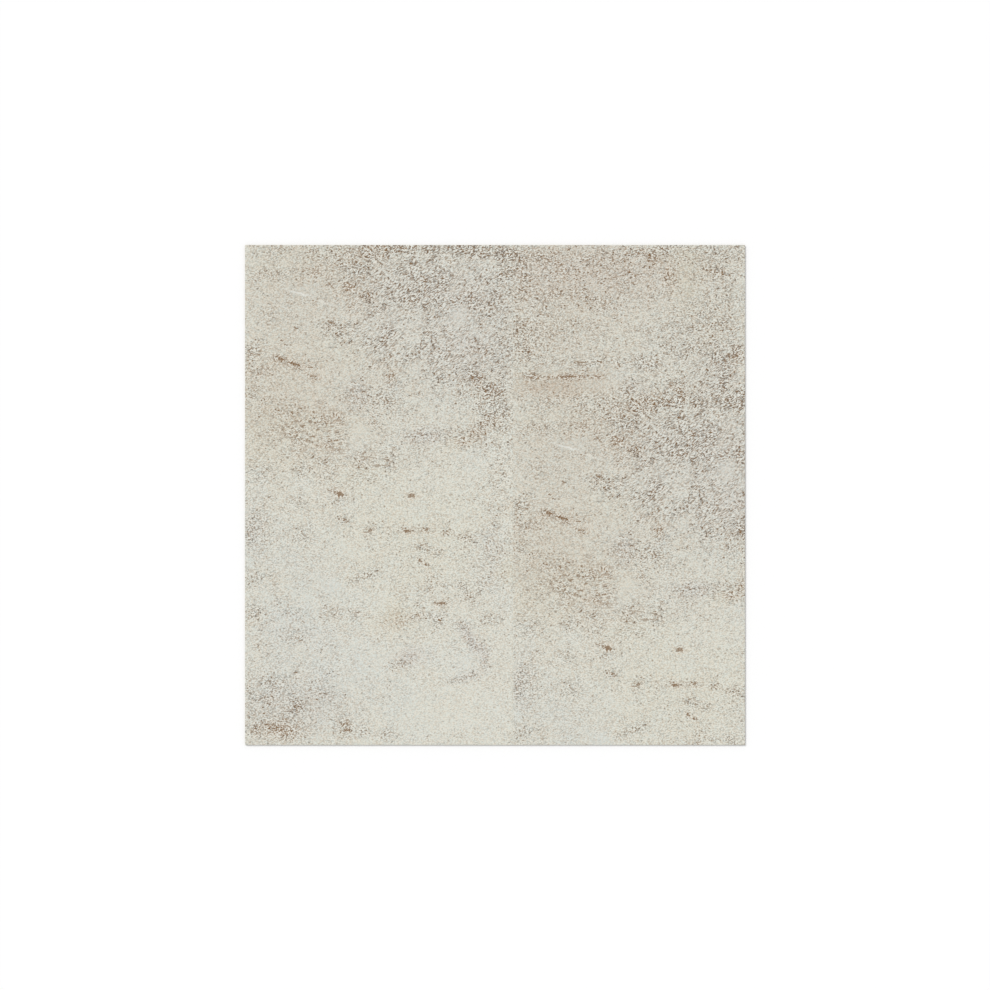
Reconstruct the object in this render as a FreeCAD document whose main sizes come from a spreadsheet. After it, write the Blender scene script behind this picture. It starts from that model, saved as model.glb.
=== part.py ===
import FreeCAD, Part
import os
import Sketcher

# A square floor tile of filled vinyl, lying wear face up on its glued back.
# It is one sheet, calendered, embossed and then die-cut. The punch leaves a
# plumb cut edge, with a hair of radius at each corner. The rim of the wear face
# is eased, so that neighbouring tiles butt without a lip. One straight joint is
# pressed into the face from end to end, and makes two panels of the one sheet.
#
# Frame, in millimetres: the origin is the middle of the glued back, +Z goes up
# through the wear face, +X runs across the pressed joint and +Y along it.

DRIVING_SIZES = [
    ("tile_width", 610.0, "across the pressed joint"),
    ("tile_length", 610.0, "along the pressed joint"),
    ("sheet_thickness", 3.0, "glued back to wear face"),
    ("corner_radius", 0.5, "left by the punch at each corner"),
    ("rim_easing", 0.4, "leg of the 45 degree easing round the wear face"),
    ("joint_from_left", 327.0, "left cut edge to the middle of the joint"),
    ("joint_width", 1.2, "lip to lip at the wear face"),
    ("joint_depth", 0.2, "wear face to the bottom of the V"),
]

# Two places closer than this are the same place.
SAME_PLACE = 1e-4

doc = FreeCAD.newDocument("vinyl_floor_tile")


def driving_sheet():
    """The sheet of named sizes that every feature follows."""
    sheet = doc.addObject("Spreadsheet::Sheet", "sizes")
    for row, (alias, value, meaning) in enumerate(DRIVING_SIZES, start=1):
        sheet.set(f"A{row}", alias)
        sheet.set(f"B{row}", str(value))
        sheet.setAlias(f"B{row}", alias)
        sheet.set(f"C{row}", meaning)
    doc.recompute()
    return sheet


def sketch_on(body, name, role):
    """An empty sketch on one of the body's own base planes."""
    plane = next(f for f in body.Origin.OriginFeatures if f.Role == role)
    sketch = body.newObject("Sketcher::SketchObject", name)
    sketch.AttachmentSupport = [(plane, "")]
    sketch.MapMode = "FlatFace"
    return sketch


def closed_outline(sketch, corners):
    """Straight lines from corner to corner and back, pinned end to end."""
    for start, end in zip(corners, corners[1:] + corners[:1]):
        line = Part.LineSegment(FreeCAD.Vector(*start, 0), FreeCAD.Vector(*end, 0))
        sketch.addGeometry(line, False)
    for side in range(len(corners)):
        following = (side + 1) % len(corners)
        pin = Sketcher.Constraint("Coincident", side, 2, following, 1)
        sketch.addConstraint(pin)


def dimension(sketch, name, kind, places, value, follows):
    """A named dimension of the sketch that follows the driving sizes."""
    index = sketch.addConstraint(Sketcher.Constraint(kind, *places, value))
    sketch.renameConstraint(index, name)
    sketch.setExpression(f"Constraints.{name}", follows)


def edges_where(feature, wanted):
    """The names of the feature's edges that pass the test."""
    numbered = enumerate(feature.Shape.Edges, start=1)
    return [f"Edge{number}" for number, edge in numbered if wanted(edge)]


def stands_plumb(edge):
    """True for an edge that runs straight up the cut edge of the sheet."""
    box = edge.BoundBox
    return max(box.XLength, box.YLength) < SAME_PLACE


def rims_wear_face(edge):
    """True for an edge that lies in the wear face."""
    return edge.BoundBox.ZMin > sizes.sheet_thickness - SAME_PLACE


def add_calendered_sheet(body):
    """The flat sheet, as wide and long as the tile, centred on the origin."""
    outline = sketch_on(body, "punch_outline", "XY_Plane")
    half_width = sizes.tile_width / 2
    half_length = sizes.tile_length / 2
    closed_outline(
        outline,
        [
            (-half_width, -half_length),
            (half_width, -half_length),
            (half_width, half_length),
            (-half_width, half_length),
        ],
    )
    front, right, back, left = range(4)
    for side in (front, back):
        outline.addConstraint(Sketcher.Constraint("Horizontal", side))
    for side in (right, left):
        outline.addConstraint(Sketcher.Constraint("Vertical", side))
    centred = Sketcher.Constraint("Symmetric", front, 1, back, 1, -1, 1)
    outline.addConstraint(centred)
    dimension(
        outline, "width", "DistanceX", (front, 1, front, 2),
        sizes.tile_width, "sizes.tile_width",
    )
    dimension(
        outline, "length", "DistanceY", (right, 1, right, 2),
        sizes.tile_length, "sizes.tile_length",
    )
    sheet = body.newObject("PartDesign::Pad", "calendered_sheet")
    sheet.Profile = outline
    sheet.setExpression("Length", "sizes.sheet_thickness")
    doc.recompute()
    return sheet


def round_corners(body, sheet):
    """The punch's small radius, on the four plumb edges."""
    corners = body.newObject("PartDesign::Fillet", "punched_corners")
    corners.Base = (sheet, edges_where(sheet, stands_plumb))
    corners.setExpression("Radius", "sizes.corner_radius")
    doc.recompute()
    return corners


def ease_rim(body, corners):
    """The easing, once round the wear face and through its corners."""
    rim = body.newObject("PartDesign::Chamfer", "eased_rim")
    rim.Base = (corners, edges_where(corners, rims_wear_face))
    rim.setExpression("Size", "sizes.rim_easing")
    doc.recompute()
    return rim


def press_joint(body):
    """The V of the pressed joint, from the front cut edge to the back one.

    The profile is drawn looking along +Y, with its zero at the left cut edge.
    """
    profile = sketch_on(body, "joint_profile", "XZ_Plane")
    profile.setExpression("AttachmentOffset.Base.x", "-sizes.tile_width / 2")
    middle = sizes.joint_from_left
    lip = sizes.joint_width / 2
    face = sizes.sheet_thickness
    closed_outline(
        profile,
        [
            (middle - lip, face),
            (middle, face - sizes.joint_depth),
            (middle + lip, face),
        ],
    )
    falling, rising, mouth = range(3)
    origin = (-1, 1)
    profile.addConstraint(Sketcher.Constraint("Horizontal", mouth))
    profile.addConstraint(Sketcher.Constraint("Equal", falling, rising))
    dimension(
        profile, "to_middle", "DistanceX", (*origin, falling, 2),
        sizes.joint_from_left, "sizes.joint_from_left",
    )
    dimension(
        profile, "mouth_width", "DistanceX", (falling, 1, rising, 2),
        sizes.joint_width, "sizes.joint_width",
    )
    dimension(
        profile, "bottom_height", "DistanceY", (*origin, falling, 2),
        face - sizes.joint_depth, "sizes.sheet_thickness - sizes.joint_depth",
    )
    dimension(
        profile, "face_height", "DistanceY", (*origin, falling, 1),
        face, "sizes.sheet_thickness",
    )
    joint = body.newObject("PartDesign::Pocket", "pressed_joint")
    joint.Profile = profile
    joint.SideType = "Symmetric"
    joint.Type = "ThroughAll"
    doc.recompute()
    return joint


def check_document():
    """Stops the build if any feature failed."""
    for item in doc.Objects:
        if {"Invalid", "Error"} & set(item.State):
            raise RuntimeError(f"{item.Name} failed: {item.State}")


def check_joint_was_cut(rim, joint):
    """Stops the build if the V took away less than its section times the length."""
    section = sizes.joint_width * sizes.joint_depth / 2
    shortest = sizes.tile_length - 2 * sizes.rim_easing
    removed = rim.Shape.Volume - joint.Shape.Volume
    if removed < section * shortest:
        raise RuntimeError(f"the joint took away only {removed:.2f} mm3")


def write_step(body):
    """One file for the piece, named for its node."""
    shape = body.Shape
    if shape.isNull() or not shape.isValid() or len(shape.Solids) != 1:
        raise RuntimeError(f"{body.Label} is not one valid solid")
    os.makedirs("parts", exist_ok=True)
    shape.exportStep(f"parts/{body.Label}.step")
    box = shape.BoundBox
    print(
        f"{body.Label}: {box.XLength:.2f} x {box.YLength:.2f} x {box.ZLength:.2f} mm,"
        f" {shape.Volume / 1000:.1f} cm3, {len(shape.Faces)} faces"
    )


sizes = driving_sheet()
tile = doc.addObject("PartDesign::Body", "tile")
tile.Label = "tile"
flat_sheet = add_calendered_sheet(tile)
punched = round_corners(tile, flat_sheet)
eased = ease_rim(tile, punched)
jointed = press_joint(tile)
check_document()
check_joint_was_cut(eased, jointed)
write_step(tile)
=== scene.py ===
import math

import bmesh
import bpy
import numpy as np
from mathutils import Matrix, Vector, noise


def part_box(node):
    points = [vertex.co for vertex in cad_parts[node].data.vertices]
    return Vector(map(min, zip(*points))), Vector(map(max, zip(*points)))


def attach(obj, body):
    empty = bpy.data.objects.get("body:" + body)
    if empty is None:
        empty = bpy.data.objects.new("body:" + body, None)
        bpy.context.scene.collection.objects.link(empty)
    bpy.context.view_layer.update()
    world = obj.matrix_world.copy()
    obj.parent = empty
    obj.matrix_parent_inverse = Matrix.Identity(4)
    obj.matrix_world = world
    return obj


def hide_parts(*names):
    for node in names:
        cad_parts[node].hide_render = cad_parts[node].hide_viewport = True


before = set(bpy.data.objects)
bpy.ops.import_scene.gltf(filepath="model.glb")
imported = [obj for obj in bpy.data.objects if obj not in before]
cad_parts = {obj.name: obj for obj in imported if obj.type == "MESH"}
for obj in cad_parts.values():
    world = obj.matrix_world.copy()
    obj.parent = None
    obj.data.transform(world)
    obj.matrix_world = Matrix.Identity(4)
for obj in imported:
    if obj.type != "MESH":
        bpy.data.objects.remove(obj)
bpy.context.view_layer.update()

# The blank: one sheet of chalk-filled vinyl, calendered flat and die-cut square.
# It is lifted from a flat sheet of cells: the rim is drawn down at 45 degrees,
# the cut edge below it is plumb, and the punch leaves a hair of radius at each
# corner. One V joint is pressed across the wear face and runs out at both edges.
MM = 0.001
RIM_EASING = 0.4 * MM
CORNER_RADIUS = 0.5 * MM
CORNER_STEPS = 4
JOINT_FROM_LEFT = 327 * MM
JOINT_WIDTH = 1.2 * MM
JOINT_DEPTH = 0.2 * MM
CELLS = 300
SHARPEST_SMOOTH_EDGE = math.radians(12)
# Two places closer than this are the same place.
SAME_PLACE = 0.001 * MM

back_corner, face_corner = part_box("tile")
tile_width = face_corner.x - back_corner.x
tile_length = face_corner.y - back_corner.y
face_height = face_corner.z
flat_width = tile_width - 2 * RIM_EASING
flat_length = tile_length - 2 * RIM_EASING
joint_x = back_corner.x + JOINT_FROM_LEFT
middle = (0, 0, 0)


def select_where(kind, wanted):
    """In edit mode, selects the elements of that kind that pass the test, and no others."""
    bpy.ops.mesh.select_mode(type=kind)
    bpy.ops.mesh.select_all(action="DESELECT")
    shape = bmesh.from_edit_mesh(bpy.context.edit_object.data)
    elements = {"VERT": shape.verts, "EDGE": shape.edges, "FACE": shape.faces}[kind]
    for element in elements:
        if wanted(element):
            element.select_set(True)
    shape.select_flush_mode()
    bmesh.update_edit_mesh(bpy.context.edit_object.data)


def in_joint_column(vertex):
    """True for a vertex of the wear face in the middle of the joint."""
    return abs(vertex.co.x - joint_x) < SAME_PLACE and vertex.co.z > face_height - SAME_PLACE


def at_corner(edge):
    """True for an edge that runs from the wear face to the back at a corner."""
    return all(
        abs(vertex.co.x) > flat_width / 2 - SAME_PLACE
        and abs(vertex.co.y) > flat_length / 2 - SAME_PLACE
        for vertex in edge.verts
    )


bpy.ops.object.select_all(action="DESELECT")
bpy.ops.mesh.primitive_grid_add(
    x_subdivisions=CELLS, y_subdivisions=CELLS, size=1, calc_uvs=False, location=middle
)
tile = bpy.context.object
tile.name = tile.data.name = "embossed_tile"
bpy.ops.object.mode_set(mode="EDIT")
bpy.ops.mesh.select_all(action="SELECT")
bpy.ops.transform.resize(value=(flat_width, flat_length, 1), center_override=middle)
bpy.ops.transform.translate(value=(0, 0, face_height))

# The line of vertices nearest to the joint is slid onto it, and a cut each side
# of it makes the lips.
cell_width = flat_width / CELLS
columns_to_joint = round((joint_x + flat_width / 2) / cell_width)
nearest_column = columns_to_joint * cell_width - flat_width / 2
select_where("VERT", lambda v: abs(v.co.x - nearest_column) < cell_width / 4)
bpy.ops.transform.translate(value=(joint_x - nearest_column, 0, 0))
for lip in (joint_x - JOINT_WIDTH / 2, joint_x + JOINT_WIDTH / 2):
    bpy.ops.mesh.select_all(action="SELECT")
    bpy.ops.mesh.bisect(plane_co=(lip, 0, 0), plane_no=(1, 0, 0))

# The rim is drawn out and down, the cut edge straight down, and the back closed.
select_where("EDGE", lambda e: e.is_boundary)
bpy.ops.mesh.extrude_region_move(TRANSFORM_OT_translate={"value": (0, 0, -RIM_EASING)})
bpy.ops.transform.resize(
    value=(tile_width / flat_width, tile_length / flat_length, 1), center_override=middle
)
bpy.ops.mesh.extrude_region_move(
    TRANSFORM_OT_translate={"value": (0, 0, RIM_EASING - face_height)}
)
bpy.ops.mesh.edge_face_add()

# The joint is pressed in, and its two ends follow the slope of the rim.
select_where("VERT", in_joint_column)
bpy.ops.transform.translate(value=(0, 0, -JOINT_DEPTH))
for side in (-1, 1):
    select_where(
        "VERT",
        lambda v: abs(v.co.x - joint_x) < SAME_PLACE
        and abs(v.co.y - side * flat_length / 2) < SAME_PLACE,
    )
    bpy.ops.transform.translate(value=(0, side * JOINT_DEPTH, 0))

select_where("EDGE", at_corner)
bpy.ops.mesh.bevel(offset=CORNER_RADIUS, segments=CORNER_STEPS, affect="EDGES")
bpy.ops.mesh.select_all(action="SELECT")
bpy.ops.mesh.normals_make_consistent(inside=False)
bpy.ops.object.mode_set(mode="OBJECT")

# The print: a stone pattern on a film under the wear layer. The same pattern
# starts again at the joint, PRINT_DROP further down. It is laid out mark by
# mark, and each mark is a soft ellipse. Its six numbers are its place across and
# down from the corner where the pattern starts, its half length and half width,
# all in millimetres, the angle in degrees at which it rises to the right, and its
# strength. A mark above that corner shows only beyond the joint.
PRINT_DROP = 188 * MM

PITS = [
    # the dark band along the far edge, and its clumps
    (215, 40, 110, 38, 3, 0.35),
    (160, 45, 50, 30, 10, 0.10),
    (292, 55, 45, 36, 0, 0.07),
    (155, 10, 20, 11, 20, 0.65),
    (180, 2, 16, 7, 25, 0.45),
    (200, 2, 10, 12, 0, 0.40),
    (128, 28, 16, 8, -8, 0.40),
    (140, 31, 8, 5, 0, 0.45),
    (126, 48, 10, 8, 0, 0.50),
    (146, 64, 16, 6, -38, 0.50),
    (203, 65, 18, 8, 0, 0.55),
    (168, 76, 11, 6, 15, 0.40),
    (214, 48, 10, 8, 40, 0.15),
    (240, 50, 16, 6, 35, 0.30),
    (240, 72, 28, 7, 3, 0.50),
    (294, 73, 17, 7, 0, 0.70),
    (310, 58, 14, 6, 30, 0.28),
    (275, 62, 10, 7, 0, 0.30),
    (286, 6, 28, 10, 0, 0.75),
    (322, 12, 16, 12, 0, 0.50),
    (235, 6, 14, 9, 20, 0.40),
    (316, 38, 11, 9, 0, 0.75),
    (98, 15, 14, 12, 0, 0.15),
    (160, 4, 200, 12, 0, 0.26),
    (318, 14, 14, 14, 0, 0.30),
    (262, 10, 12, 10, 0, 0.20),
    (112, 10, 12, 10, 0, 0.22),
    (240, 86, 10, 8, 0, 0.42),
    (290, 88, 12, 8, 0, 0.30),
    # the cool field under it
    (268, 130, 60, 42, 0, 0.31),
    (160, 118, 46, 40, 0, 0.18),
    (250, 148, 30, 16, 0, 0.10),
    (316, 112, 10, 36, 0, 0.20),
    (110, 97, 22, 5, 0, 0.45),
    (114, 110, 14, 9, 0, 0.38),
    (177, 106, 10, 10, 50, 0.70),
    (160, 118, 12, 8, 0, 0.45),
    (208, 139, 13, 8, 30, 0.50),
    (226, 105, 14, 6, 10, 0.35),
    (138, 112, 12, 9, 0, 0.18),
    (138, 62, 9, 7, 0, 0.15),
    (262, 68, 10, 8, 0, 0.15),
    (238, 136, 12, 9, 0, 0.20),
    (238, 88, 10, 7, 0, 0.18),
    (225, 122, 8, 8, 0, 0.30),
    (176, 158, 6, 14, 0, 0.40),
    (156, 145, 8, 8, 0, 0.25),
    (136, 183, 11, 16, 0, 0.35),
    (176, 190, 16, 8, 0, 0.38),
    (282, 163, 12, 8, -20, 0.65),
    (298, 177, 14, 9, -25, 0.75),
    (240, 166, 14, 7, 0, 0.18),
    (262, 186, 12, 7, 30, 0.25),
    (288, 196, 15, 13, 0, 0.30),
    (186, 170, 12, 14, 0, 0.18),
    (160, 188, 14, 10, 0, 0.28),
    # the upper left and the brown belt under it
    (60, 60, 80, 70, 0, 0.05),
    (84, 34, 12, 9, 0, 0.20),
    (34, 32, 22, 10, 0, 0.24),
    (82, 68, 14, 4, -10, 0.18),
    (28, 82, 18, 4, -6, 0.20),
    (45, 190, 90, 55, 0, 0.08),
    (200, 195, 90, 50, 0, 0.12),
    (312, 180, 24, 110, 0, 0.22),
    (88, 248, 50, 32, 0, 0.10),
    (14, 150, 20, 12, 0, 0.20),
    (8, 128, 14, 14, 0, 0.30),
    (42, 137, 12, 4, -20, 0.32),
    (62, 146, 11, 4, -24, 0.32),
    (82, 158, 11, 9, 0, 0.12),
    (55, 203, 20, 7, 0, 0.34),
    (106, 210, 18, 10, 0, 0.22),
    (84, 214, 12, 6, 0, 0.14),
    (62, 234, 9, 13, 0, 0.28),
    (102, 245, 12, 12, 0, 0.10),
    (30, 228, 18, 8, 0, 0.20),
    (12, 186, 14, 16, 0, 0.15),
    (140, 263, 11, 15, 0, 0.26),
    (180, 266, 8, 12, 0, 0.20),
    (68, 276, 8, 8, 0, 0.30),
    (154, 216, 8, 6, 0, 0.30),
    (92, 264, 10, 8, 0, 0.18),
    (138, 288, 12, 8, 0, 0.15),
    (105, 285, 12, 16, 0, 0.18),
    (165, 252, 28, 28, 0, 0.08),
    (62, 312, 14, 8, 0, 0.28),
    (110, 314, 14, 8, 0, 0.22),
    (24, 275, 20, 16, 0, 0.14),
    (150, 288, 18, 8, 0, 0.15),
    (80, 350, 22, 16, 0, 0.12),
    (8, 36, 10, 8, 0, 0.15),
    # the arc that climbs to the joint, and the streak under it
    (222, 233, 24, 8, 0, 0.28),
    (266, 237, 18, 10, 14, 0.40),
    (290, 222, 18, 10, 36, 0.32),
    (308, 208, 16, 10, 10, 0.30),
    (220, 262, 40, 12, 0, 0.08),
    # the cream, with its scattered spots
    (210, 395, 75, 55, 0, 0.05),
    (300, 370, 22, 55, 0, 0.17),
    (312, 287, 12, 10, 0, 0.20),
    (216, 370, 16, 4, 0, 0.30),
    (234, 375, 9, 5, -15, 0.30),
    (216, 387, 9, 4, -15, 0.12),
    (222, 347, 6, 4, 0, 0.20),
    (197, 348, 7, 4, -10, 0.20),
    (178, 352, 7, 5, 0, 0.12),
    (152, 348, 8, 6, 20, 0.20),
    (120, 337, 9, 5, -15, 0.30),
    (246, 351, 6, 5, 0, 0.30),
    (266, 358, 8, 6, -20, 0.30),
    (145, 403, 18, 5, 28, 0.30),
    (228, 420, 8, 12, 0, 0.20),
    (263, 416, 12, 4, -12, 0.28),
    (238, 410, 10, 8, 0, 0.20),
    (290, 412, 12, 10, 0, 0.18),
    (273, 428, 8, 12, 20, 0.25),
    (240, 437, 8, 5, 0, 0.20),
    (238, 458, 7, 6, -30, 0.50),
    (216, 453, 22, 6, 6, 0.24),
    (190, 462, 11, 6, 0, 0.12),
    (212, 440, 9, 7, 0, 0.16),
    (262, 463, 10, 7, 0, 0.18),
    (302, 456, 14, 5, 8, 0.30),
    (197, 509, 18, 5, 4, 0.15),
    (182, 514, 8, 5, 20, 0.24),
    (272, 479, 14, 6, -58, 0.28),
    (285, 492, 9, 7, -25, 0.30),
    (291, 506, 6, 13, 0, 0.25),
    (274, 527, 15, 5, 12, 0.30),
    (260, 533, 8, 4, 15, 0.35),
    # the left edge and the dark corner at the near left
    (16, 345, 20, 34, 0, 0.22),
    (8, 350, 8, 16, 0, 0.35),
    (66, 358, 12, 4, -6, 0.25),
    (20, 400, 12, 9, 0, 0.20),
    (10, 412, 10, 10, 0, 0.15),
    (8, 450, 10, 10, 0, 0.40),
    (60, 470, 70, 45, 0, 0.05),
    (105, 446, 12, 6, -20, 0.38),
    (135, 450, 14, 6, 0, 0.20),
    (60, 446, 10, 6, 0, 0.25),
    (62, 482, 14, 6, 10, 0.25),
    (50, 566, 72, 38, 0, 0.16),
    (14, 537, 10, 8, 0, 0.16),
    (137, 590, 10, 8, 0, 0.16),
    (44, 533, 24, 8, 0, 0.28),
    (98, 521, 14, 6, 0, 0.18),
    (12, 548, 14, 7, 0, 0.25),
    (28, 556, 8, 12, 0, 0.20),
    (62, 561, 13, 11, 0, 0.36),
    (104, 547, 18, 6, -8, 0.20),
    (94, 574, 12, 7, 0, 0.15),
    (44, 592, 30, 13, 0, 0.38),
    (14, 590, 10, 6, 0, 0.35),
    (125, 590, 10, 10, 0, 0.40),
    (146, 592, 7, 7, 0, 0.35),
    (176, 597, 11, 5, 0, 0.30),
    # the stretch that shows only beyond the joint
    (90, -160, 110, 36, 0, 0.30),
    (225, -182, 50, 12, 0, 0.20),
    (30, -85, 80, 34, 0, 0.26),
    (215, -80, 80, 50, 0, 0.22),
    (148, -178, 16, 10, 0, 0.25),
    (262, -170, 40, 24, 0, 0.16),
    (4, -170, 14, 26, 0, 0.55),
    (60, -156, 16, 10, 0, 0.32),
    (170, -171, 12, 8, -35, 0.48),
    (184, -182, 12, 9, 0, 0.42),
    (18, -150, 12, 9, 0, 0.15),
    (16, -132, 12, 8, 0, 0.30),
    (55, -126, 11, 7, 0, 0.35),
    (85, -125, 9, 7, 0, 0.50),
    (112, -120, 14, 7, 0, 0.50),
    (170, -128, 12, 8, 0, 0.20),
    (112, -176, 12, 8, 0, 0.25),
    (262, -28, 10, 8, 0, 0.30),
    (34, -174, 18, 5, -20, 0.30),
    (45, -148, 16, 8, 0, 0.16),
    (145, -150, 14, 10, 0, 0.25),
    (192, -145, 7, 20, 0, 0.28),
    (248, -136, 20, 20, 0, 0.20),
    (14, -90, 14, 46, 0, 0.20),
    (36, -118, 14, 14, 0, 0.14),
    (250, -95, 16, 12, 0, 0.15),
    (254, -154, 18, 5, -8, 0.36),
    (268, -120, 14, 8, 0, 0.25),
    (18, -56, 13, 8, -15, 0.35),
    (50, -48, 26, 7, 0, 0.12),
    (60, -27, 50, 4, 0, 0.12),
    (24, -27, 12, 5, 0, 0.40),
    (70, -27, 16, 4, 0, 0.40),
    (95, -43, 18, 5, 8, 0.45),
    (130, -44, 9, 5, 0, 0.38),
    (162, -43, 15, 9, 0, 0.50),
    (142, -13, 14, 10, 0, 0.38),
    (198, -10, 12, 14, 0, 0.62),
    (226, -66, 14, 7, 10, 0.30),
    (250, -50, 12, 11, 0, 0.45),
    (275, -54, 11, 11, 0, 0.60),
    (256, -16, 14, 10, 0, 0.50),
    (276, -2, 13, 9, 0, 0.80),
    (240, -30, 45, 40, 0, 0.28),
    (235, -90, 40, 26, 0, 0.18),
]
CLOTS = [
    # short strokes and clots of dark grains: the strongest marks of the print
    (44.5, 139, 8, 2.0, -12, 0.95),
    (60.5, 145, 10, 2.2, -17, 1.0),
    (80, 149, 8, 1.8, 0, 0.7),
    (82, 160, 9, 2.2, -12, 0.7),
    (81, 8.5, 7, 2.0, -2, 0.6),
    (30, 35.5, 6, 2.0, -50, 0.65),
    (13, 44.5, 14, 1.8, 8, 0.55),
    (57, 45, 13, 1.8, 2, 0.5),
    (104, 49, 9, 2.6, -45, 0.7),
    (100, 38, 10, 2.4, -20, 0.5),
    (106, 69, 7, 2.4, 30, 0.6),
    (96, 98, 10, 2.6, 10, 0.6),
    (104, 19, 12, 2.8, -20, 0.5),
    (137, 82, 7, 2.2, 0, 0.6),
    (89, 217, 10, 2.0, 4, 0.7),
    (84, 232, 9, 1.8, 8, 0.5),
    (110, 238, 12, 2.0, 5, 0.7),
    (115, 250, 5, 2.6, -20, 0.6),
    (100, 244, 5, 2.2, 0, 0.6),
    (64, 228, 7, 2.0, 6, 0.65),
    (60, 247, 5, 1.8, -45, 0.6),
    (81, 272, 5, 2.0, -45, 0.7),
    (176, 250, 12, 1.8, 6, 0.4),
    (156, 217, 6, 3.0, 0, 0.55),
    (62, 102, 3.2, 2.4, 0, 0.7),
    (72, 106, 3.2, 2.2, 0, 0.6),
    (45, 117, 3.2, 2.2, 0, 0.7),
    (50, 122, 3.2, 2.2, 0, 0.7),
    (35, 126, 3, 2.2, 0, 0.6),
    (30, 83, 3.6, 2.2, 0, 0.6),
    (49, 84, 3, 2.2, 0, 0.6),
    (127, 81, 6, 2.2, -4, 0.55),
    (86, 68, 8, 2.2, -4, 0.6),
    (120, 101, 7, 2.4, 0, 0.55),
    (74, 250, 3, 2.4, 0, 0.6),
    (139, 254, 6, 2.2, 0, 0.6),
    (139, 271, 4, 3, 0, 0.55),
    (185, 260, 3.2, 2.4, 0, 0.5),
    (185, 276, 3.2, 2.4, 0, 0.5),
    (172, 281, 3.2, 2.4, 0, 0.55),
    (67, 283, 4.4, 2.6, -50, 0.6),
    # the spots, and the clots round them
    (107, 300, 10, 3.6, -10, 0.7),
    (116, 304, 6, 4.0, -25, 1.0),
    (110, 313, 5, 3.0, 0, 0.4),
    (203, 306, 6, 4.0, 10, 0.9),
    (122, 336, 6, 3.4, -25, 0.8),
    (152, 349, 6, 4.0, 30, 0.7),
    (180, 353, 5, 3.0, 0, 0.4),
    (197, 349, 7, 3.2, -12, 0.9),
    (222, 347, 4, 3.2, 0, 0.9),
    (246, 351, 5, 2.6, 20, 0.5),
    (267, 358, 5, 2.6, -25, 0.5),
    (216, 366, 11, 2.0, -4, 0.45),
    (234, 372, 8, 2.0, 0, 0.4),
    (214, 385, 6, 3.0, -35, 0.75),
    (221, 390, 6, 2.4, 0, 0.7),
    (264, 434, 6, 1.8, 0, 0.5),
    (56, 360, 7, 2.2, 8, 0.5),
    (171, 378, 4, 2.4, 0, 0.55),
    (235, 270, 4, 2.6, 0, 0.5),
    (7, 455, 4, 3, 0, 0.55),
    (251, 423, 3.2, 2.4, 0, 0.55),
    (240, 437, 8, 2.2, 6, 0.9),
    (237, 458, 6, 2.4, -45, 0.8),
    (208, 454, 10, 3.0, 8, 0.6),
    (190, 461, 8, 4.0, 0, 0.6),
    (176, 459, 6, 4.0, 0, 0.4),
    (263, 416, 8, 2.0, -22, 0.65),
    (268, 428, 8, 4.0, 0, 0.4),
    (197, 509, 12, 2.0, 2, 0.5),
    (274, 482, 5, 2.2, -50, 0.5),
    (276, 526, 9, 1.8, 12, 0.45),
    (259, 533, 6, 2.2, 15, 0.5),
    (110, 580, 6, 3.0, -30, 0.4),
    (122, 584, 9, 3.0, 20, 0.7),
    (124, 592, 6, 3.0, 10, 0.9),
    (38, 592, 15, 5.0, -8, 0.45),
    (62, 596, 10, 4.0, -20, 0.5),
    (24, 552, 6, 4.0, 0, 0.5),
    (60, 563, 9, 3.0, 30, 0.5),
    (168, 598, 8, 2.4, 0, 0.4),
    # broader blots, in the dark fields and on the arc
    (280, 163, 8, 4.0, -20, 0.5),
    (305, 178, 9, 4.0, -10, 0.4),
    (199, 64, 11, 5.0, 0, 0.5),
    (126, 52, 8, 6.0, 0, 0.5),
    (170, 78, 7, 3.0, 0, 0.5),
    (262, 240, 9, 3.4, 20, 0.6),
    # the stretch that shows only beyond the joint
    (20, -27, 9, 1.9, 3, 0.85),
    (41, -27, 9, 1.7, 0, 0.6),
    (66, -27.5, 13, 1.9, 0, 0.95),
    (86, -27.5, 8, 1.7, -3, 0.8),
    (104, -27.5, 7, 1.9, 0, 0.85),
    (60, -27.5, 50, 2.2, 0, 0.42),
    (84, -45, 13, 1.6, 3, 0.72),
    (105, -46, 5, 1.8, 0, 0.70),
    (89, -35.5, 7, 1.8, 6, 0.6),
    (128, -42, 6, 2.2, -35, 0.5),
    (83, -111, 6, 2.4, -50, 0.5),
    (113, -112, 9, 2.2, 12, 0.5),
    (108, -104, 12, 2.0, -25, 0.5),
    (60, -146, 6, 4.0, 0, 0.5),
    (168, -171, 12, 4.0, -40, 0.45),
    (183, -184, 6, 4.0, 0, 0.6),
    (240, -157, 11, 1.7, -10, 0.72),
    (256, -152, 8, 2.0, -20, 0.70),
    (21, -57, 9, 2.6, -15, 0.4),
]
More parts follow.
